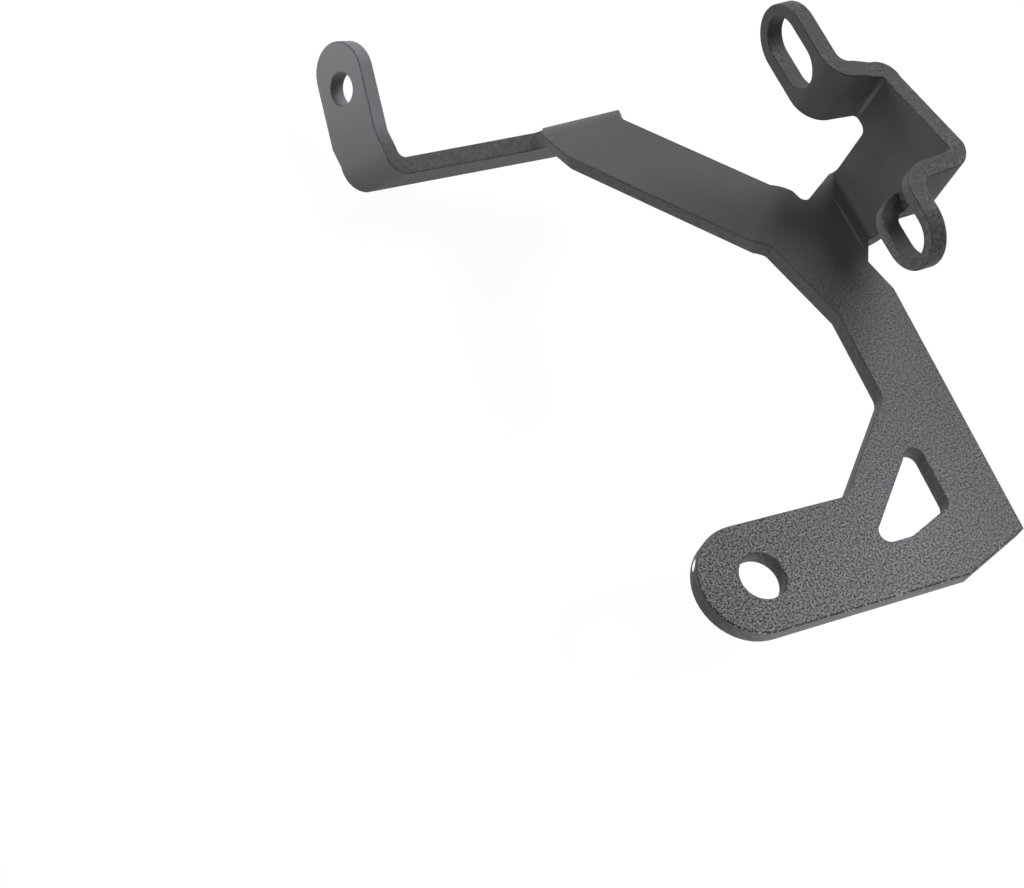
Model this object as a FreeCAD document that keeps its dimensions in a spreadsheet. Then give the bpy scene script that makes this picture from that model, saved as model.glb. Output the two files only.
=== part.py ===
import FreeCAD, Part
import math
import os
import Sketcher

# Driving light bracket: one steel sheet, cut flat and folded eight times, with a bolt hole at the foot,
# two slotted ears on a top-hat channel and a drilled tab at the end of a skew strap.
# Frame: the axis of the foot hole is +Z, the origin lies on the plate's front face, the ears face -X.

doc = FreeCAD.newDocument("light_bracket")
sheet = doc.addObject("Spreadsheet::Sheet", "Sizes")
body = doc.addObject("PartDesign::Body", "light_bracket")
body.Label = "light_bracket"


class Size:
    """A length or an angle, with the expression that works it out from the sheet."""

    def __init__(self, value, text):
        self.value = value
        self.text = text

    def __add__(self, other):
        return Size(self.value + other.value, f"({self.text} + {other.text})")

    def __sub__(self, other):
        return Size(self.value - other.value, f"({self.text} - {other.text})")

    def __mul__(self, other):
        return Size(self.value * other.value, f"({self.text} * {other.text})")

    def __truediv__(self, other):
        return Size(self.value / other.value, f"({self.text} / {other.text})")

    def __neg__(self):
        return Size(-self.value, f"(-{self.text})")


ZERO = Size(0.0, "0")
TWO = Size(2.0, "2")


def sine(angle):
    return Size(math.sin(math.radians(angle.value)), f"sin({angle.text})")


def cosine(angle):
    return Size(math.cos(math.radians(angle.value)), f"cos({angle.text})")


def tangent(angle):
    return Size(math.tan(math.radians(angle.value)), f"tan({angle.text})")


def size(alias, number):
    """Write one size into the sheet under its own name."""
    size.row += 1
    sheet.set(f"A{size.row}", alias)
    sheet.set(f"B{size.row}", number)
    sheet.setAlias(f"B{size.row}", alias)
    return Size(float(number), f"Sizes.{alias}")


size.row = 0

# Sheet and foot
thickness = size("thickness", "3.6")
foot_hole_radius = size("foot_hole_radius", "4.5")
foot_radius = size("foot_radius", "10.8")
foot_reach = size("foot_reach", "2")
arm_turn = size("arm_turn", "3")

# Main plate, measured from the foot hole along the lower arm and up the long arm
web_start = size("web_start", "24")
web_level = size("web_level", "10.3")
web_angle = size("web_angle", "44")
arm_inner = size("arm_inner", "41.5")
arm_outer = size("arm_outer", "56")
heel_start = size("heel_start", "40.4")
heel_angle = size("heel_angle", "19.5")
strap_start = size("strap_start", "45.6")
shoulder_low = size("shoulder_low", "48.2")
shoulder_high = size("shoulder_high", "55")
shoulder_step = size("shoulder_step", "2.3")
web_corner = size("web_corner", "3")

# Three-sided window in the corner of the plate
window_outer = size("window_outer", "43.5")
window_foot = size("window_foot", "0.6")
window_left = size("window_left", "23.7")
window_heel = size("window_heel", "33")
window_corner = size("window_corner", "2")

# First strap fold, below the back face
strap_turn = size("strap_turn", "45.9")
strap_line = size("strap_line", "18.2")
strap_fold = size("strap_fold", "32.9")
strap_fold_radius = size("strap_fold_radius", "4.4")
strap_near = size("strap_near", "69.4")
strap_far = size("strap_far", "84.5")
strap_lean = size("strap_lean", "66.4")
strap_long_side = size("strap_long_side", "47")
strap_short_side = size("strap_short_side", "38.7")
strap_corner = size("strap_corner", "5")
strap_notch = size("strap_notch", "3.4")

# Second strap fold, skew, and the strip behind it
crest_turn = size("crest_turn", "65.5")
crest_length = size("crest_length", "15.9")
crest_fold = size("crest_fold", "52.8")
crest_radius = size("crest_radius", "2.4")
strip_root = size("strip_root", "2.5")
strip_depth = size("strip_depth", "19")
strip_reach = size("strip_reach", "44.4")
strip_rise = size("strip_rise", "4.6")
strip_fillet = size("strip_fillet", "2")

# End tab
tab_turn = size("tab_turn", "139.4")
tab_fold = size("tab_fold", "89")
tab_fold_radius = size("tab_fold_radius", "2")
tab_width = size("tab_width", "13.7")
tab_skew = size("tab_skew", "1.3")
tab_taper = size("tab_taper", "4")
tab_centre = size("tab_centre", "17.7")
tab_hole_up = size("tab_hole_up", "14.8")
tab_hole_radius = size("tab_hole_radius", "3.3")

# Tongue and top-hat channel, measured along Y and up from the front face
tongue_line = size("tongue_line", "59.3")
tongue_low = size("tongue_low", "56.5")
tongue_high = size("tongue_high", "72.3")
tongue_fold = size("tongue_fold", "90")
tongue_radius = size("tongue_radius", "1.3")
channel_low = size("channel_low", "54.8")
channel_high = size("channel_high", "75.8")
channel_depth = size("channel_depth", "12.5")
channel_fold = size("channel_fold", "90")
channel_radius = size("channel_radius", "1")
back_top_low = size("back_top_low", "32.2")
back_top_high = size("back_top_high", "27")
leg_foot_low = size("leg_foot_low", "17")
leg_foot_high = size("leg_foot_high", "14")
notch_fillet = size("notch_fillet", "1.5")

# Ears and their slots
ear_radius = size("ear_radius", "2.4")
ear_width = size("ear_width", "14.6")
ear_level_high = size("ear_level_high", "22.2")
ear_level_low = size("ear_level_low", "24.2")
ear_end_high = size("ear_end_high", "97.8")
ear_end_low = size("ear_end_low", "37.7")
slot_radius = size("slot_radius", "4.5")
slot_length_high = size("slot_length_high", "14.7")
slot_length_low = size("slot_length_low", "16")
slot_wall = size("slot_wall", "2.4")

doc.recompute()


def origin_plane(role):
    for feature in body.Origin.OriginFeatures:
        if feature.Role == role:
            return feature


def attach(item, support, shift, axis, angle):
    """Hang a plane or sketch on another, moved in its directions and turned about one axis."""
    item.AttachmentSupport = [(support, "")]
    item.MapMode = "FlatFace"
    rotation = FreeCAD.Rotation(FreeCAD.Vector(*axis), angle.value)
    item.AttachmentOffset = FreeCAD.Placement(FreeCAD.Vector(*[step.value for step in shift]), rotation)
    for direction, step in zip("xyz", shift):
        item.setExpression(f"AttachmentOffset.Base.{direction}", step.text)
    item.setExpression("AttachmentOffset.Rotation.Angle", angle.text)


def plane(name, support, shift, axis, angle):
    datum = body.newObject("PartDesign::Plane", name)
    attach(datum, support, shift, axis, angle)
    doc.recompute()
    return datum


def sketch(name, support):
    drawing = body.newObject("Sketcher::SketchObject", name)
    drawing.AttachmentSupport = [(support, "")]
    drawing.MapMode = "FlatFace"
    return drawing


def pin(drawing, curve, point, place):
    """Fix one point of a curve at named distances from the sketch's origin."""
    for kind, distance, axis in zip(("DistanceX", "DistanceY"), place, (-2, -1)):
        if distance is ZERO:
            drawing.addConstraint(Sketcher.Constraint("PointOnObject", curve, point, axis))
        else:
            rule = Sketcher.Constraint(kind, -1, 1, curve, point, distance.value)
            index = drawing.addConstraint(rule)
            drawing.setExpression(f"Constraints[{index}]", distance.text)


def vector(place):
    return FreeCAD.Vector(place[0].value, place[1].value, 0)


def polygon(drawing, corners):
    count = len(corners)
    ends = corners[1:] + corners[:1]
    for start, end in zip(corners, ends):
        drawing.addGeometry(Part.LineSegment(vector(start), vector(end)), False)
    for index in range(count):
        drawing.addConstraint(Sketcher.Constraint("Coincident", index, 2, (index + 1) % count, 1))
    for index, corner in enumerate(corners):
        pin(drawing, index, 1, corner)
    return drawing


def circle(drawing, centre, radius):
    curve = drawing.addGeometry(Part.Circle(vector(centre), FreeCAD.Vector(0, 0, 1), radius.value), False)
    index = drawing.addConstraint(Sketcher.Constraint("Radius", curve, radius.value))
    drawing.setExpression(f"Constraints[{index}]", radius.text)
    pin(drawing, curve, 3, centre)
    return drawing


def arch(drawing, left, right, spring):
    """A flat that starts at a fold, runs up straight and ends in a half circle over its full width."""
    corners = [(right, spring), (right, ZERO), (left, ZERO), (left, spring)]
    for start, end in zip(corners, corners[1:]):
        drawing.addGeometry(Part.LineSegment(vector(start), vector(end)), False)
    middle = ((left + right) / TWO, spring)
    half = (right - left) / TWO
    round_end = Part.Circle(vector(middle), FreeCAD.Vector(0, 0, 1), half.value)
    crown = drawing.addGeometry(Part.ArcOfCircle(round_end, 0, math.pi), False)
    for index, corner in enumerate(corners[:-1]):
        pin(drawing, index, 1, corner)
    last = len(corners) - 2
    pin(drawing, last, 2, corners[-1])
    for index in range(last):
        drawing.addConstraint(Sketcher.Constraint("Coincident", index, 2, index + 1, 1))
    drawing.addConstraint(Sketcher.Constraint("Coincident", crown, 1, 0, 1))
    drawing.addConstraint(Sketcher.Constraint("Coincident", crown, 2, last, 2))
    level = drawing.addConstraint(Sketcher.Constraint("DistanceY", -1, 1, crown, 3, spring.value))
    drawing.setExpression(f"Constraints[{level}]", spring.text)
    return drawing


def flat(name, drawing):
    """A flat stretch of sheet behind its front face."""
    pad = body.newObject("PartDesign::Pad", name)
    pad.Profile = drawing
    pad.Reversed = True
    pad.setExpression("Length", thickness.text)
    doc.recompute()
    return pad


def cut(name, drawing, depth):
    """A hole through the sheet, from its front face back."""
    before = body.Shape.Volume
    pocket = body.newObject("PartDesign::Pocket", name)
    pocket.Profile = drawing
    pocket.setExpression("Length", depth.text)
    doc.recompute()
    if body.Shape.Volume >= before:
        raise RuntimeError(f"{name} cuts nothing")
    return pocket


def fold(name, support, place, axis, turn, angle, radius, to_front, near, far):
    """Fold the sheet on from a straight edge and return the plane of its next flat stretch.

    In the returned plane X runs along the fold, Y away from it and Z out of the front face.
    """
    edge = plane(f"{name}_edge", support, (place[0], place[1], ZERO), axis, turn)
    centre = radius if to_front else -(radius + thickness)
    front = -radius if to_front else radius + thickness
    back = front - thickness
    section = body.newObject("Sketcher::SketchObject", f"{name}_section")
    attach(section, edge, (ZERO, ZERO, centre), (1, 0, 0), quarter_turn)
    polygon(section, [(near, back), (far, back), (far, front), (near, front)])
    doc.recompute()
    bend = body.newObject("PartDesign::Revolution", f"{name}_bend")
    bend.Profile = section
    bend.ReferenceAxis = (section, ["H_Axis"])
    bend.Reversed = not to_front
    bend.setExpression("Angle", angle.text)
    doc.recompute()
    away = (radius if to_front else radius + thickness) * sine(angle)
    up = centre + front * cosine(angle)
    direction = (1, 0, 0) if to_front else (-1, 0, 0)
    return plane(f"{name}_plane", edge, (ZERO, away, up), direction, angle)


quarter_turn = size("quarter_turn", "90")
doc.recompute()

# Main plate
arm = plane("arm_plane", origin_plane("XY_Plane"), (ZERO, ZERO, ZERO), (0, 0, -1), arm_turn)


def along(start, direction, length):
    return (start[0] + length * cosine(direction), start[1] + length * sine(direction))


def on_arm(across, up):
    """A point of the ears' axes in the arm's own directions."""
    return (across * cosine(arm_turn) - up * sine(arm_turn), across * sine(arm_turn) + up * cosine(arm_turn))


def on_strap(distance):
    """A point of the first strap fold's edge in the arm's directions."""
    return (
        distance * cosine(strap_turn) - strap_line * sine(strap_turn),
        distance * sine(strap_turn) + strap_line * cosine(strap_turn),
    )


heel_rise = (arm_outer - heel_start) * tangent(heel_angle)
web_rise = (arm_inner - web_start) * tangent(web_angle)
strap_tip = on_strap(strap_far)
strap_heading = strap_turn + strap_lean
notch = along(strap_tip, strap_heading, -strap_notch)
plate_outline = polygon(sketch("plate_outline", arm), [
    (-foot_reach, -foot_radius),
    (heel_start, -foot_radius),
    (arm_outer, heel_rise - foot_radius),
    (arm_outer, shoulder_low),
    (arm_outer - shoulder_step, shoulder_high),
    on_arm(tongue_line, tongue_low),
    on_arm(tongue_line, tongue_high),
    notch,
    strap_tip,
    on_strap(strap_near),
    (arm_inner, strap_start),
    (arm_inner, web_level + web_rise),
    (web_start, web_level),
    (-foot_reach, foot_radius),
])
flat("plate", plate_outline)
flat("foot", circle(sketch("foot_outline", arm), (-foot_reach, ZERO), foot_radius))
cut("foot_hole", circle(sketch("foot_hole_outline", arm), (ZERO, ZERO), foot_hole_radius), thickness)

window_rise = (window_outer - window_left) * tangent(web_angle)
window_cut = (window_outer - window_heel) * tangent(heel_angle)
cut("window", polygon(sketch("window_outline", arm), [
    (window_left, -window_foot),
    (window_heel, -window_foot),
    (window_outer, window_cut - window_foot),
    (window_outer, window_rise - window_foot),
]), thickness)

# Strap
strap = fold("strap", arm, (-(strap_line * sine(strap_turn)), strap_line * cosine(strap_turn)), (0, 0, 1),
             strap_turn, strap_fold, strap_fold_radius, False, strap_near, strap_far)
crest_far = along((strap_far, ZERO), strap_lean, strap_short_side)
crest_near = along(crest_far, -crest_turn, -crest_length)
strap_bend = along((strap_near, ZERO), strap_lean, strap_long_side)
flat("strap", polygon(sketch("strap_outline", strap), [
    (strap_near, ZERO),
    (strap_far, ZERO),
    crest_far,
    crest_near,
    strap_bend,
]))

# Strip behind the crest
strip = fold("crest", strap, crest_far, (0, 0, -1), crest_turn, crest_fold, crest_radius, False,
             -crest_length, ZERO)
tab_edge = (-strip_reach, -strip_rise)
tab_near = along(tab_edge, tab_turn, -tab_skew)
tab_far = along(tab_edge, tab_turn, tab_width - tab_skew)
flat("strip", polygon(sketch("strip_outline", strip), [
    (-crest_length, ZERO),
    (ZERO, ZERO),
    (ZERO, strip_depth),
    tab_far,
    tab_near,
    (-crest_length, strip_root),
]))

# End tab
tab = fold("tab", strip, tab_edge, (0, 0, 1), tab_turn, tab_fold, tab_fold_radius, True,
           -tab_skew, tab_width - tab_skew)
tab_middle = tab_width / TWO
flat("tab", polygon(sketch("tab_outline", tab), [
    (-tab_skew, ZERO),
    (tab_width - tab_skew, ZERO),
    (tab_width, tab_taper),
    (tab_width, tab_centre),
    (ZERO, tab_centre),
    (ZERO, tab_taper),
]))
flat("tab_end", circle(sketch("tab_end_outline", tab), (tab_middle, tab_centre), tab_middle))
tab_bore = circle(sketch("tab_hole_outline", tab), (tab_middle, tab_hole_up), tab_hole_radius)
cut("tab_hole", tab_bore, thickness)

# Tongue and the back of the channel
back = fold("tongue", origin_plane("XY_Plane"), (tongue_line, ZERO), (0, 0, -1), quarter_turn, tongue_fold,
            tongue_radius, True, -tongue_high, -tongue_low)
leg_high = channel_high - channel_radius
leg_low = channel_low + channel_radius
flat("channel_back", polygon(sketch("channel_back_outline", back), [
    (-tongue_high, ZERO),
    (-tongue_low, ZERO),
    (-tongue_low, leg_foot_low - tongue_radius),
    (-leg_low, leg_foot_low - tongue_radius),
    (-leg_low, back_top_low - tongue_radius),
    (-leg_high, back_top_high - tongue_radius),
    (-leg_high, leg_foot_high - tongue_radius),
    (-tongue_high, leg_foot_high - tongue_radius),
]))


def slotted_ear(name, root, sign, axis, foot, top, level, reach, slot_length):
    """One leg of the channel with the ear folded out from it. The ear's slot may run on through the fold."""
    def up(height):
        return height if sign > 0 else -height

    half = ear_width / TWO
    leg = fold(f"{name}_leg", back, (-root, -tongue_radius), axis, quarter_turn, channel_fold, channel_radius,
               True, up(foot), up(top))
    length = channel_depth - channel_radius - ear_radius - thickness
    flat(f"{name}_leg", polygon(sketch(f"{name}_leg_outline", leg), [
        (up(foot), ZERO),
        (up(top), ZERO),
        (up(level + half), length),
        (up(level - half), length),
    ]))
    ear = fold(f"{name}_ear", leg, (ZERO, length), (0, 0, 1), ZERO, channel_fold, ear_radius, False,
               up(level - half), up(level + half))
    sides = sorted((up(level - half), up(level + half)), key=lambda side: side.value)
    flat(f"{name}_ear", arch(sketch(f"{name}_ear_outline", ear), *sides, reach - half))
    tip = reach - slot_wall - slot_radius
    heel = reach - slot_wall - slot_length + slot_radius
    cut(f"{name}_slot", polygon(sketch(f"{name}_slot_outline", ear), [
        (up(level - slot_radius), heel),
        (up(level + slot_radius), heel),
        (up(level + slot_radius), tip),
        (up(level - slot_radius), tip),
    ]), thickness + ear_radius)
    for end, place in (("tip", tip), ("heel", heel)):
        drawing = circle(sketch(f"{name}_slot_{end}_outline", ear), (up(level), place), slot_radius)
        cut(f"{name}_slot_{end}", drawing, thickness + ear_radius)


ear_bend = thickness + ear_radius
slotted_ear("high", leg_high, 1, (0, 0, 1), leg_foot_high, back_top_high, ear_level_high,
            ear_end_high - channel_high - ear_bend, slot_length_high)
slotted_ear("low", leg_low, -1, (0, 0, -1), leg_foot_low, back_top_low, ear_level_low,
            channel_low - ear_bend - ear_end_low, slot_length_low)


def plan_edges(frame, places):
    """Names of the edges that run through the sheet at the given corners of a flat stretch."""
    names = []
    half_thickness = thickness / TWO
    for place in places:
        corner = FreeCAD.Vector(place[0].value, place[1].value, -half_thickness.value)
        middle = frame.Placement.multVec(corner)
        gaps = [edge.distToShape(Part.Vertex(middle))[0] for edge in body.Shape.Edges]
        names.append(f"Edge{gaps.index(min(gaps)) + 1}")
    return names


def soften(name, frame, places, radius):
    """Round the corners of a flat stretch in plan."""
    base = body.Tip
    names = plan_edges(frame, places)
    fillet = body.newObject("PartDesign::Fillet", name)
    fillet.Base = (base, names)
    fillet.setExpression("Radius", radius.text)
    doc.recompute()
    return fillet


soften("window_corners", arm, [
    (window_left, -window_foot),
    (window_heel, -window_foot),
    (window_outer, window_cut - window_foot),
    (window_outer, window_rise - window_foot),
], window_corner)
soften("web_corners", arm, [(web_start, web_level), (arm_inner, web_level + web_rise)], web_corner)
soften("strap_corner_round", strap, [strap_bend], strap_corner)
soften("strip_root_round", strip, [(-crest_length, strip_root)], strip_fillet)
soften("strip_depth_round", strip, [(ZERO, strip_depth)], strap_corner)
soften("plate_notches", arm, [notch], notch_fillet)
soften("channel_notch", back, [(-tongue_high, leg_foot_high - tongue_radius)], notch_fillet)

# Every feature is sound and the sheet is one solid before it is written
doc.recompute()
for item in doc.Objects:
    if "Invalid" in item.State or "Error" in item.State:
        raise RuntimeError(f"{item.Name} is {item.State}")
if body.Shape.isNull() or not body.Shape.isValid() or len(body.Shape.Solids) != 1:
    raise RuntimeError("the bracket is not one sound solid")
os.makedirs("parts", exist_ok=True)
body.Shape.exportStep(f"parts/{body.Label}.step")
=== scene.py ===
import math

import bpy
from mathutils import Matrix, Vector
from mathutils.bvhtree import BVHTree


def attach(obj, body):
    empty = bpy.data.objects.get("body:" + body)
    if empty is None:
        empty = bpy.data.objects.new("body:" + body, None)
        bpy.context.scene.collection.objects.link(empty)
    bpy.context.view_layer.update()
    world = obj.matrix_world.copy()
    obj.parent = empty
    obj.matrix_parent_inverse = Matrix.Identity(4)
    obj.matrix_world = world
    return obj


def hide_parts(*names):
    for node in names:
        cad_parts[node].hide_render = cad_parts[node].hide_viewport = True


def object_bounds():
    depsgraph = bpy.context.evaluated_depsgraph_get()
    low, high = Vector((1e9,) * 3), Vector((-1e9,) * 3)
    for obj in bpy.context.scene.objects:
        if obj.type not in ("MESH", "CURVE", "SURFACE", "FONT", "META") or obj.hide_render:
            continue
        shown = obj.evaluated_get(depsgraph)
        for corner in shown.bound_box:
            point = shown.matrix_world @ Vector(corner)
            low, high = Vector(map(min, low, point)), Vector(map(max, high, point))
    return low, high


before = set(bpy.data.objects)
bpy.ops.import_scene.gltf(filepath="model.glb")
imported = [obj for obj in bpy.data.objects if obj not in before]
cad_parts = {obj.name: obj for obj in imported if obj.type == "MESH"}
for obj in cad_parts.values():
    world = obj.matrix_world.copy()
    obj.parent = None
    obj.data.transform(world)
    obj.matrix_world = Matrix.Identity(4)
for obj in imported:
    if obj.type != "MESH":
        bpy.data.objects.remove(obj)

MM = 0.001
cad_low, cad_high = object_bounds()

# The sockets of a node that mixes two colours: the share, both colours and the mixed one.
SHARE, FIRST, SECOND, MIXED = 0, 6, 7, 2
# Nearly all of a noise lies between these values.
NOISE_LOW, NOISE_HIGH = 0.3, 0.7


def linear(colour):
    """An sRGB hex colour as linear red, green, blue and alpha."""
    parts = [int(colour[i:i + 2], 16) / 255 for i in (1, 3, 5)]
    return [p / 12.92 if p <= 0.04045 else ((p + 0.055) / 1.055) ** 2.4 for p in parts] + [1]


def add(tree, kind, settings=None, links=None):
    """Adds one node, sets its values and links its inputs."""
    made = tree.nodes.new("ShaderNode" + kind)
    for name, value in (settings or {}).items():
        if isinstance(name, str) and hasattr(made, name):
            setattr(made, name, value)
        else:
            made.inputs[name].default_value = value
    for name, source in (links or {}).items():
        tree.links.new(source, made.inputs[name])
    return made


def new_material(name):
    made = bpy.data.materials.new(name)
    made.use_nodes = True
    made.node_tree.nodes.clear()
    return made, made.node_tree


def take_up(piece):
    """Selects one piece alone, as the operators act on all that is selected."""
    bpy.ops.object.select_all(action="DESELECT")
    piece.select_set(True)
    bpy.context.view_layer.objects.active = piece


def patch(tree, place, centre, reach, edge):
    """A mark on the coat about one place, with its reach along X, Y and Z, in millimetres."""
    offset = add(
        tree, "VectorMath", {"operation": "SUBTRACT", 1: [c * MM for c in centre]}, {0: place}
    ).outputs["Vector"]
    share = add(
        tree, "VectorMath", {"operation": "DIVIDE", 1: [r * MM for r in reach]}, {0: offset}
    ).outputs["Vector"]
    away = add(tree, "VectorMath", {"operation": "LENGTH"}, {0: share}).outputs["Value"]
    return add(
        tree, "MapRange", {"From Min": 1.0, "From Max": 1.0 - edge}, {"Value": away}
    ).outputs["Result"]


# Textured black powder coat on folded steel, sprayed and baked.
# On the foot and the arm it lies thick and has a fine leathery grain, whose tops are painted
# lighter as painted highlights and whose pits are painted darker as painted shade. Up the arm the
# grain and its painted light weaken, and past the first fold they are gone, partly as the coat
# flows out smooth there and partly as the painted light is left out where the channel's shadow
# falls.
PIT_PAINTED_SHADE, TOP_PAINTED_HIGHLIGHT = "#2e2e31", "#828285"
PIT_ROUGHNESS, TOP_ROUGHNESS = 0.72, 0.6
COAT_IOR = 1.5
COAT_GLOSS = 0.15
GRAIN, GRAIN_HEIGHT = 0.42, 0.2
FINE_GRAIN, FINE_GRAIN_HEIGHT, FINE_GRAIN_STRENGTH = 0.2, 0.01, 0.6
CLOUD, CLOUD_SPREAD = 22.0, 0.06
# How the strength of the grain and of its painted highlights and shade changes along an axis:
# from and to which millimetre, and the strength at both.
GRAIN_ON_FOOT = ("X", -12.0, 45.0, 1.34, 0.84)
GRAIN_ON_ARM = ("Y", 4.0, 60.0, 1.0, 0.5)
GRAIN_BEFORE_FOLD = ("Y", 49.0, 58.0, 1.0, 0.08)
# A pale line is painted beside the channel's fold as a painted highlight, and another up the
# channel's inner corner.
HIGHLIGHT_COLOUR = "#8a8a8e"
HIGHLIGHT_LINE_EDGE = 0.6
FOLD_HIGHLIGHT_AT, FOLD_HIGHLIGHT_REACH = (57.1, 61.2, 0.0), (0.45, 8.0, 0.6)
CORNER_HIGHLIGHT_AT, CORNER_HIGHLIGHT_REACH = (60.5, 75.2, 20.5), (0.5, 0.5, 8.0)


def powder_coat():
    material, tree = new_material("powder_coat_grained")
    place = add(tree, "TexCoord").outputs["Object"]
    axes = add(tree, "SeparateXYZ", links={0: place}).outputs
    on_foot, on_arm, before_fold = [
        add(
            tree,
            "MapRange",
            {"From Min": start * MM, "From Max": end * MM, "To Min": first, "To Max": last},
            {"Value": axes[axis]},
        ).outputs["Result"]
        for axis, start, end, first, last in (GRAIN_ON_FOOT, GRAIN_ON_ARM, GRAIN_BEFORE_FOLD)
    ]
    # The grain's strength also sets the strength of its painted highlights and painted shade.
    on_top = add(tree, "Math", {"operation": "MULTIPLY"}, {0: on_arm, 1: before_fold}).outputs[0]
    grain_and_painted_light = add(tree, "Math", {"operation": "MULTIPLY"}, {0: on_top, 1: on_foot}).outputs[0]
    grain = add(
        tree,
        "TexNoise",
        {"Scale": 1 / (GRAIN * MM), "Detail": 1.5, "Roughness": 0.45},
        {"Vector": place},
    ).outputs["Fac"]
    fine = add(
        tree, "TexNoise", {"Scale": 1 / (FINE_GRAIN * MM), "Detail": 1.0}, {"Vector": place}
    ).outputs["Fac"]
    cloud = add(
        tree, "TexNoise", {"Scale": 1 / (CLOUD * MM), "Detail": 2.0}, {"Vector": place}
    ).outputs["Fac"]
    tops = add(
        tree,
        "MapRange",
        {"From Min": NOISE_LOW, "From Max": NOISE_HIGH, "To Min": -1.0, "To Max": 1.0},
        {"Value": grain},
    ).outputs["Result"]
    relief = add(tree, "Math", {"operation": "MULTIPLY"}, {0: tops, 1: grain_and_painted_light}).outputs[0]
    tone = add(
        tree, "MapRange", {"From Min": -1.0, "From Max": 1.0}, {"Value": relief}
    ).outputs["Result"]
    # Painted light: the grain's tops are painted lighter as highlights and its pits darker as
    # shade.
    grain_painted_light = add(
        tree, "Mix", {"data_type": "RGBA", FIRST: linear(PIT_PAINTED_SHADE), SECOND: linear(TOP_PAINTED_HIGHLIGHT)}, {SHARE: tone}
    ).outputs[MIXED]
    clouded = add(
        tree,
        "MapRange",
        {
            "From Min": NOISE_LOW,
            "From Max": NOISE_HIGH,
            "To Min": 1 - CLOUD_SPREAD,
            "To Max": 1 + CLOUD_SPREAD,
        },
        {"Value": cloud},
    ).outputs["Result"]
    even = add(
        tree,
        "Mix",
        {"data_type": "RGBA", "blend_type": "MULTIPLY", SHARE: 1.0},
        {FIRST: grain_painted_light, SECOND: clouded},
    ).outputs[MIXED]
    # Painted highlights: pale lines along the channel's fold and up its inner corner.
    fold_highlight = patch(tree, place, FOLD_HIGHLIGHT_AT, FOLD_HIGHLIGHT_REACH, HIGHLIGHT_LINE_EDGE)
    corner_highlight = patch(tree, place, CORNER_HIGHLIGHT_AT, CORNER_HIGHLIGHT_REACH, HIGHLIGHT_LINE_EDGE)
    highlighted = add(
        tree, "Math", {"operation": "MAXIMUM"}, {0: fold_highlight, 1: corner_highlight}
    ).outputs[0]
    colour = add(
        tree, "Mix", {"data_type": "RGBA", SECOND: linear(HIGHLIGHT_COLOUR)}, {SHARE: highlighted, FIRST: even}
    ).outputs[MIXED]
    rough = add(
        tree, "MapRange", {"To Min": PIT_ROUGHNESS, "To Max": TOP_ROUGHNESS}, {"Value": tone}
    ).outputs["Result"]
    coarse_bump = add(
        tree, "Bump", {"Distance": GRAIN_HEIGHT * MM}, {"Height": grain, "Strength": grain_and_painted_light}
    ).outputs["Normal"]
    bump = add(
        tree,
        "Bump",
        {"Distance": FINE_GRAIN_HEIGHT * MM, "Strength": FINE_GRAIN_STRENGTH},
        {"Height": fine, "Normal": coarse_bump},
    ).outputs["Normal"]
    coat = add(
        tree,
        "BsdfPrincipled",
        {"IOR": COAT_IOR, "Specular IOR Level": COAT_GLOSS},
        {"Base Color": colour, "Roughness": rough, "Normal": bump},
    ).outputs["BSDF"]
    add(tree, "OutputMaterial", links={"Surface": coat})
    return material


# The same coat over the laser-cut edge of the sheet. On the foot and the arm it is smooth, with
# faint streaks where the cut's ripple shows through. On the channel and its ears it is darker and
# gathers here and there in pale clumps, on the end tab it is painted paler as painted light, and
# on the round end a chip shows bare steel.
SMOOTH_DARK, SMOOTH_PALE = "#545457", "#66666a"
CHANNEL_DARK, CHANNEL_PALE = "#4a4a4d", "#545457"
CLUMP_DARK, CLUMP_PALE = "#3a3a3d", "#76767a"
TAB_EDGE_LIGHT = "#7e7e83"
BARE_STEEL = "#f0f0f2"
CUT_EDGE_ROUGHNESS = 0.6
STREAK, STREAK_HEIGHT, STREAK_STRENGTH = 0.9, 0.05, 0.5
# Clumps lie only in fields, and both show where their noise rises from the low to the high value.
CLUMP, CLUMP_HEIGHT, CLUMP_LOW, CLUMP_HIGH = 0.6, 0.14, 0.4, 0.72
CLUMP_FIELD, FIELD_LOW, FIELD_HIGH = 7.0, 0.45, 0.6
# The channel's finish sets in along Z and the tab's painted light along Y, in millimetres.
CHANNEL_FROM, CHANNEL_FULL = 4.0, 12.0
TAB_LIGHT_FROM, TAB_LIGHT_FULL = 123.0, 128.0
CHIP, CHIP_REACH, CHIP_EDGE = (-10.6, 6.6, -1.7), (1.35, 1.35, 0.75), 0.15


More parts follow.
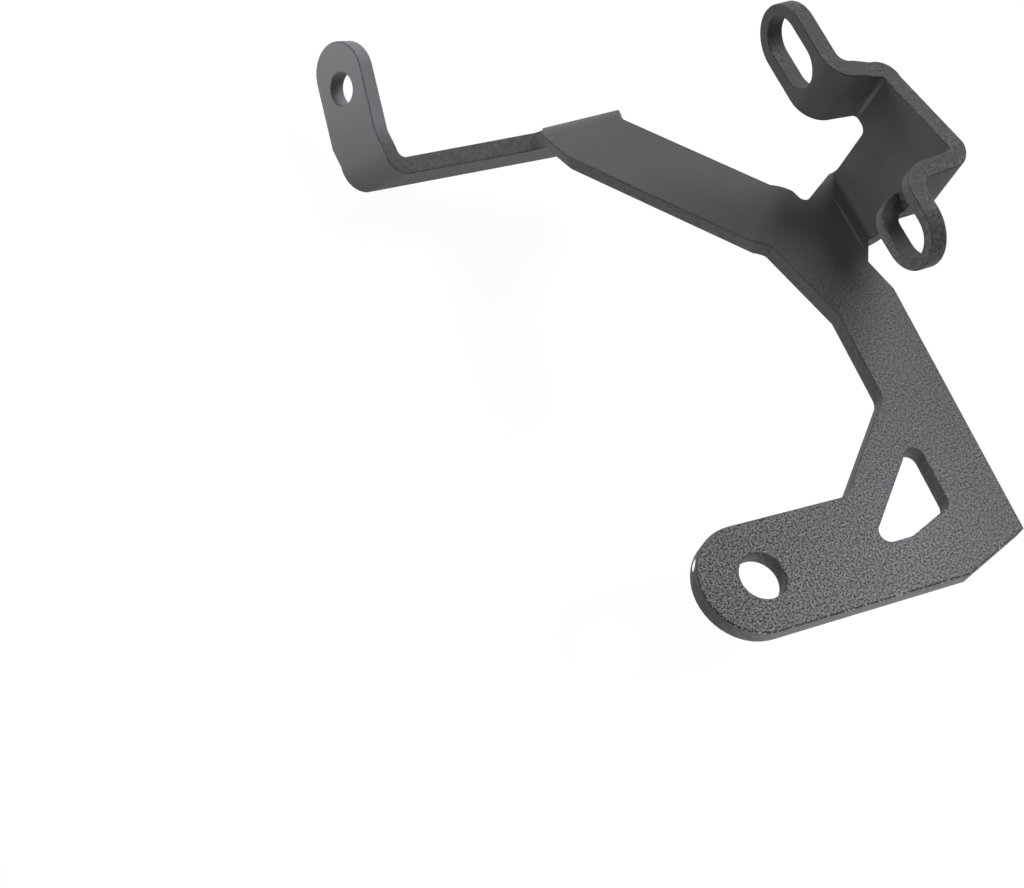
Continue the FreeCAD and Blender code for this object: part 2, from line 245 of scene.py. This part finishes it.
def powder_coat_cut_edge():
    material, tree = new_material("powder_coat_cut_edge")
    place = add(tree, "TexCoord").outputs["Object"]
    axes = add(tree, "SeparateXYZ", links={0: place}).outputs
    streaks = add(
        tree,
        "TexNoise",
        {"Scale": 1 / (STREAK * MM), "Detail": 2.0, "Roughness": 0.5},
        {"Vector": place},
    ).outputs["Fac"]
    clumps = add(
        tree,
        "TexNoise",
        {"Scale": 1 / (CLUMP * MM), "Detail": 3.0, "Roughness": 0.65},
        {"Vector": place},
    ).outputs["Fac"]
    field = add(
        tree, "TexNoise", {"Scale": 1 / (CLUMP_FIELD * MM)}, {"Vector": place}
    ).outputs["Fac"]
    in_channel, tab_light_share, streaked, in_field, clumped = [
        add(
            tree, "MapRange", {"From Min": start, "From Max": end}, {"Value": source}
        ).outputs["Result"]
        for source, start, end in (
            (axes["Z"], CHANNEL_FROM * MM, CHANNEL_FULL * MM),
            (axes["Y"], TAB_LIGHT_FROM * MM, TAB_LIGHT_FULL * MM),
            (streaks, NOISE_LOW, NOISE_HIGH),
            (field, FIELD_LOW, FIELD_HIGH),
            (clumps, CLUMP_LOW, CLUMP_HIGH),
        )
    ]
    rough_here = add(
        tree, "Math", {"operation": "MULTIPLY"}, {0: in_channel, 1: in_field}
    ).outputs[0]
    smooth, channel, rough = [
        add(
            tree,
            "Mix",
            {"data_type": "RGBA", FIRST: linear(dark), SECOND: linear(pale)},
            {SHARE: share},
        ).outputs[MIXED]
        for dark, pale, share in (
            (SMOOTH_DARK, SMOOTH_PALE, streaked),
            (CHANNEL_DARK, CHANNEL_PALE, streaked),
            (CLUMP_DARK, CLUMP_PALE, clumped),
        )
    ]
    folded = add(
        tree, "Mix", {"data_type": "RGBA"}, {SHARE: in_channel, FIRST: smooth, SECOND: channel}
    ).outputs[MIXED]
    gathered = add(
        tree, "Mix", {"data_type": "RGBA"}, {SHARE: rough_here, FIRST: folded, SECOND: rough}
    ).outputs[MIXED]
    # Painted light: the end tab's cut edge is painted paler.
    tab_lit = add(
        tree,
        "Mix",
        {"data_type": "RGBA", SECOND: linear(TAB_EDGE_LIGHT)},
        {SHARE: tab_light_share, FIRST: gathered},
    ).outputs[MIXED]
    bare = patch(tree, place, CHIP, CHIP_REACH, CHIP_EDGE)
    colour = add(
        tree,
        "Mix",
        {"data_type": "RGBA", SECOND: linear(BARE_STEEL)},
        {SHARE: bare, FIRST: tab_lit},
    ).outputs[MIXED]
    streak_bump = add(
        tree,
        "Bump",
        {"Distance": STREAK_HEIGHT * MM, "Strength": STREAK_STRENGTH},
        {"Height": streaks},
    ).outputs["Normal"]
    bump = add(
        tree,
        "Bump",
        {"Distance": CLUMP_HEIGHT * MM},
        {"Height": clumps, "Strength": rough_here, "Normal": streak_bump},
    ).outputs["Normal"]
    coat = add(
        tree,
        "BsdfPrincipled",
        {"IOR": COAT_IOR, "Specular IOR Level": COAT_GLOSS, "Roughness": CUT_EDGE_ROUGHNESS},
        {"Base Color": colour, "Normal": bump, "Metallic": bare},
    ).outputs["BSDF"]
    add(tree, "OutputMaterial", links={"Surface": coat})
    return material


# The coat over the rounded rims. Along the foot's front it is coloured as a dark line between the
# flat and its cut edge, broken by pale dots. Further back it is nearly even.
FRONT_RIM_DARK, FRONT_RIM_DOT, EVEN_RIM = "#2b2b2e", "#8c8c90", "#515154"
RIM_GLOSS, RIM_ROUGHNESS = 0.2, 0.5
RIM_DOT, DOT_LOW, DOT_HIGH = 0.55, 0.52, 0.66
DOTS_FULL_AT, DOTS_GONE_AT = -4.0, 6.0
DOTS_LEFT = 0.2


def powder_coat_rim():
    material, tree = new_material("powder_coat_rim")
    place = add(tree, "TexCoord").outputs["Object"]
    along = add(tree, "SeparateXYZ", links={0: place}).outputs["Y"]
    at_front = add(
        tree,
        "MapRange",
        {
            "From Min": DOTS_FULL_AT * MM,
            "From Max": DOTS_GONE_AT * MM,
            "To Min": 1.0,
            "To Max": DOTS_LEFT,
        },
        {"Value": along},
    ).outputs["Result"]
    dots = add(
        tree,
        "TexNoise",
        {"Scale": 1 / (RIM_DOT * MM), "Detail": 2.0, "Roughness": 0.5},
        {"Vector": place},
    ).outputs["Fac"]
    dot_share = add(
        tree, "MapRange", {"From Min": DOT_LOW, "From Max": DOT_HIGH}, {"Value": dots}
    ).outputs["Result"]
    dotted = add(
        tree,
        "Mix",
        {"data_type": "RGBA", FIRST: linear(FRONT_RIM_DARK), SECOND: linear(FRONT_RIM_DOT)},
        {SHARE: dot_share},
    ).outputs[MIXED]
    colour = add(
        tree,
        "Mix",
        {"data_type": "RGBA", FIRST: linear(EVEN_RIM)},
        {SHARE: at_front, SECOND: dotted},
    ).outputs[MIXED]
    coat = add(
        tree,
        "BsdfPrincipled",
        {"IOR": COAT_IOR, "Specular IOR Level": RIM_GLOSS, "Roughness": RIM_ROUGHNESS},
        {"Base Color": colour},
    ).outputs["BSDF"]
    add(tree, "OutputMaterial", links={"Surface": coat})
    return material


# The folded sheet: its flats and folds keep their place, and its rims are rounded
# as the coat rounds them. Lengths are in millimetres and angles in degrees.
RIM_RADIUS, RIM_STEPS = 0.3, 2
FLAT, CUT, RIM = 0, 1, 2
WELD = 0.002
SLIVER = 0.01
LEVEL_WITHIN = 0.3
SMOOTH_BELOW = 60
STRAYED = 0.15


def coated_bracket():
    sheet = bpy.data.objects.new("coated_bracket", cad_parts["light_bracket"].data.copy())
    bpy.context.scene.collection.objects.link(sheet)
    sheet.data.materials.clear()
    for finish in (powder_coat(), powder_coat_cut_edge(), powder_coat_rim()):
        sheet.data.materials.append(finish)
    walls = BVHTree.FromPolygons(
        [v.co for v in sheet.data.vertices], [p.vertices for p in sheet.data.polygons]
    )
    take_up(sheet)
    bpy.ops.mesh.customdata_custom_splitnormals_clear()
    bpy.ops.object.mode_set(mode="EDIT")
    bpy.ops.mesh.select_all(action="SELECT")
    bpy.ops.mesh.remove_doubles(threshold=WELD * MM)
    bpy.ops.mesh.dissolve_degenerate(threshold=SLIVER * MM)
    bpy.ops.object.mode_set(mode="OBJECT")
    mark_cut_edges(sheet, walls)
    bpy.ops.object.mode_set(mode="EDIT")
    bpy.ops.mesh.dissolve_limited(angle_limit=math.radians(LEVEL_WITHIN), delimit={"MATERIAL"})
    bpy.ops.mesh.select_mode(type="EDGE")
    bpy.ops.mesh.select_all(action="DESELECT")
    bpy.ops.object.mode_set(mode="OBJECT")
    select_rims(sheet)
    bpy.ops.object.mode_set(mode="EDIT")
    bpy.ops.mesh.bevel(
        offset=RIM_RADIUS * MM,
        segments=RIM_STEPS,
        affect="EDGES",
        clamp_overlap=False,
        loop_slide=False,
        material=RIM,
    )
    bpy.ops.object.mode_set(mode="OBJECT")
    settle_rims(sheet, walls)
    bpy.ops.object.shade_smooth_by_angle(angle=math.radians(SMOOTH_BELOW))
    even = sheet.modifiers.new("even_flats", "WEIGHTED_NORMAL")
    even.keep_sharp = True
    bpy.ops.object.modifier_apply(modifier=even.name)
    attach(sheet, "root")
    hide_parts("light_bracket")


# What tells a flat from a cut edge: the sheet's thickness, how far a measure of it may be out,
# how far under the skin a measure starts, and how squarely the far side has to face away.
SHEET_THICKNESS = 3.6
THICKNESS_SLACK = 0.08
UNDER_SKIN = 0.02
FACES_AWAY = -0.98
# Each face is measured at its centre and at this share of the way to each corner.
TO_CORNER = 0.7
# The wall beside the tab's hole is as wide as the sheet is thick, so the hole is known by place.
TAB_HOLE = (-2.3, 139.1, -41.3)
TAB_HOLE_AXIS = (-0.96, 0.0, 0.28)
TAB_HOLE_RADIUS = 3.4


def mark_cut_edges(sheet, walls):
    """A face with the sheet's own thickness behind most of it is a flat or a fold.

    Any other face is a cut edge.
    """
    hole = Vector(TAB_HOLE) * MM
    for face in sheet.data.polygons:
        corners = [sheet.data.vertices[i].co for i in face.vertices]
        spots = [face.center] + [face.center.lerp(corner, TO_CORNER) for corner in corners]
        sheet_behind = sum(backed(walls, spot, face.normal) for spot in spots)
        off_axis = (face.center - hole).cross(Vector(TAB_HOLE_AXIS)).length
        in_tab_hole = off_axis < TAB_HOLE_RADIUS * MM
        is_flat = sheet_behind * 2 >= len(spots) and not in_tab_hole
        face.material_index = FLAT if is_flat else CUT


def backed(walls, spot, outwards):
    """Whether the sheet's own thickness lies behind a spot, with a level far side."""
    _, far_side, _, depth = walls.ray_cast(spot - outwards * UNDER_SKIN * MM, -outwards)
    if depth is None or outwards.dot(far_side) > FACES_AWAY:
        return False
    return abs(depth / MM + UNDER_SKIN - SHEET_THICKNESS) < THICKNESS_SLACK


def select_rims(sheet):
    """A rim lies between a flat or a fold and a cut edge."""
    beside = {}
    for face in sheet.data.polygons:
        for ends in face.edge_keys:
            beside.setdefault(ends, set()).add(face.material_index)
    for edge in sheet.data.edges:
        edge.select = beside[edge.key] == {FLAT, CUT}


def settle_rims(sheet, walls):
    """A guard that lays a corner back on the sheet, should the rounding stray at a fold."""
    for corner in sheet.data.vertices:
        spot, _, _, away = walls.find_nearest(corner.co)
        if away > STRAYED * MM:
            corner.co = spot


# The floor lies just under the bracket. What the eye sees of it is mostly its own glow, so it
# stays white, and the rest is paper that takes the shadow.
FLOOR_SIDE = 4000
FLOOR_BELOW = 0.2
PAPER = "#e8e8e8"
GLOW_SHARE, GLOW = 0.9, 1.06
WHITE = "#ffffff"
ROOM_LIGHT, ROOM_WHITE = 0.07, 1.0
# Each softbox: its name, where it stands, the place it faces and the length of its side, in
# millimetres, then its spread in degrees and its power in watts.
SOFTBOXES = (
    ("key_softbox", (627, 471, 768), (40, 60, 0), 500, 180, 8.5),
    ("back_softbox", (-425, 817, 263), (30, 90, -10), 300, 180, 2.4),
    ("channel_softbox", (-300, 50, 90), (60, 56, 14), 30, 7, 0.00055),
    ("foot_softbox", (20, -100, 350), (27, -19, 0), 60, 22, 0.0138),
    ("tab_softbox", (-260, 170, 50), (-3, 158, -34), 70, 14, 0.0148),
    ("front_softbox", (10, -100, -45), (15, -10, -2), 120, 180, 0.16),
)


def studio():
    """A white floor and surround that stay white to the eye, and soft light at a plain level."""
    scene = bpy.context.scene
    scene.view_settings.view_transform = "Standard"

    bpy.ops.mesh.primitive_plane_add(
        size=FLOOR_SIDE * MM, location=(0, 0, cad_low.z - FLOOR_BELOW * MM)
    )
    floor = bpy.context.object
    floor.name = "white_floor"
    bpy.ops.object.transform_apply(location=True, rotation=True, scale=True)
    material, tree = new_material("white_paper_sweep")
    part = add(tree, "Math", {"operation": "MULTIPLY", 1: GLOW_SHARE}, {0: seen(tree)})
    paper = add(tree, "BsdfDiffuse", {"Color": linear(PAPER)})
    glow = add(tree, "Emission", {"Color": linear(WHITE), "Strength": GLOW})
    mixed = add(
        tree,
        "MixShader",
        links={0: part.outputs[0], 1: paper.outputs[0], 2: glow.outputs[0]},
    )
    add(tree, "OutputMaterial", links={"Surface": mixed.outputs[0]})
    floor.data.materials.append(material)

    world = bpy.data.worlds.new("white_room")
    scene.world = world
    world.use_nodes = True
    tree = world.node_tree
    tree.nodes.clear()
    dim = add(tree, "Background", {"Color": linear(WHITE), "Strength": ROOM_LIGHT})
    white = add(tree, "Background", {"Color": linear(WHITE), "Strength": ROOM_WHITE})
    mixed = add(
        tree,
        "MixShader",
        links={0: seen(tree), 1: dim.outputs[0], 2: white.outputs[0]},
    )
    add(tree, "OutputWorld", links={"Surface": mixed.outputs[0]})

    for settings in SOFTBOXES:
        softbox(*settings)


def seen(tree):
    """One where the eye looks, straight, in a gloss or through glass, and nought elsewhere."""
    ray = add(tree, "LightPath").outputs
    straight_or_gloss = add(
        tree, "Math", {"operation": "MAXIMUM"}, {0: ray["Is Camera Ray"], 1: ray["Is Glossy Ray"]}
    ).outputs[0]
    return add(
        tree,
        "Math",
        {"operation": "MAXIMUM"},
        {0: straight_or_gloss, 1: ray["Is Transmission Ray"]},
    ).outputs[0]


def softbox(name, place, target, side, spread, power):
    """A square soft light that faces one place on the bracket."""
    lamp = bpy.data.lights.new(name, "AREA")
    lamp.shape = "SQUARE"
    lamp.size = side * MM
    lamp.spread = math.radians(spread)
    lamp.energy = power
    light = bpy.data.objects.new(name, lamp)
    bpy.context.scene.collection.objects.link(light)
    light.visible_camera = False
    light.location = Vector(place) * MM
    aim = Vector(target) - Vector(place)
    light.rotation_euler = aim.to_track_quat("-Z", "Y").to_euler()


# The camera stands above the round end and looks along the arm, with a long lens.
CAMERA_PLACE = (-298.39, -140.98, 447.46)
CAMERA_TURN = (31.0312, -18.4416, -28.2743)
LENS = 110.08
SENSOR = 36.0
NEAREST = 10.0


def camera():
    data = bpy.data.cameras.new("photo_view")
    data.lens = LENS
    data.sensor_width = SENSOR
    data.clip_start = NEAREST * MM
    view = bpy.data.objects.new("photo_view", data)
    bpy.context.scene.collection.objects.link(view)
    view.location = [c * MM for c in CAMERA_PLACE]
    view.rotation_euler = [math.radians(a) for a in CAMERA_TURN]
    bpy.context.scene.camera = view


coated_bracket()
studio()
camera()
